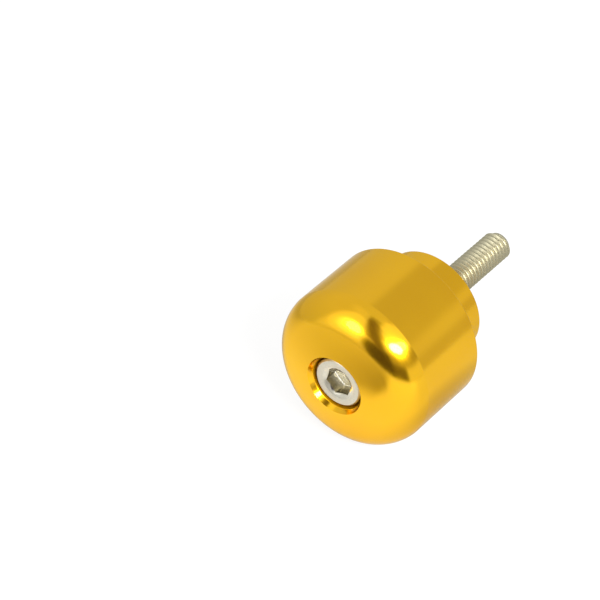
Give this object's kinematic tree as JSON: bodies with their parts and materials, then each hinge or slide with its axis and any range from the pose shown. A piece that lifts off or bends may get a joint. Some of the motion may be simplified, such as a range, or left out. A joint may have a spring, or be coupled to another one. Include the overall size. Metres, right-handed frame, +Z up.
{
  "type": "bar end weight",
  "caption": "Turned handlebar end weight with a rounded nose and a smaller collar, gold anodised, held by a socket head cap screw recessed in its nose.",
  "frame": {"origin": "centre of the collar's rear face, on the axis, where the weight meets the end of the bar", "axes": "+X out along the axis to the nose, +Z up, thread of the screw along -X"},
  "size_m": [0.052, 0.0316, 0.0316],
  "materials": {
    "gold_anodised_aluminium": "turned, polished and gold anodised",
    "screw_steel": "bright stainless steel, rolled thread"
  },
  "bodies": {
    "root": {"weight_body": "gold_anodised_aluminium", "cap_screw": "screw_steel"}
  },
  "joints": []
}
